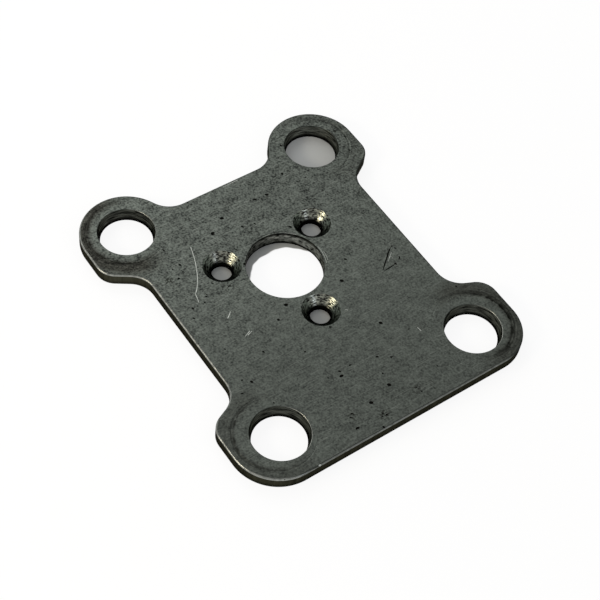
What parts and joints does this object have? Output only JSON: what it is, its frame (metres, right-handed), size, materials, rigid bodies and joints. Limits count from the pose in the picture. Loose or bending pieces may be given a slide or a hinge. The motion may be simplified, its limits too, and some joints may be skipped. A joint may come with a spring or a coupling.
{
  "type": "motor mounting bracket",
  "caption": "Flat steel motor mounting plate with round ears at its corners for grommets, a central pilot hole and countersunk screw holes around it.",
  "frame": {"origin": "on the axis of the pilot hole, on the back face that the motor seats against", "axes": "+Z out of the front face with the countersinks, +Y along the plate towards the pair of ears nearer the pilot hole, +X across"},
  "size_m": [0.0684, 0.0769, 0.003],
  "materials": {
    "plate_steel": "tumbled and darkened mild steel, fine mottle with worn rings round the grommet holes"
  },
  "bodies": {
    "root": {"mounting_plate": "plate_steel"}
  },
  "joints": []
}
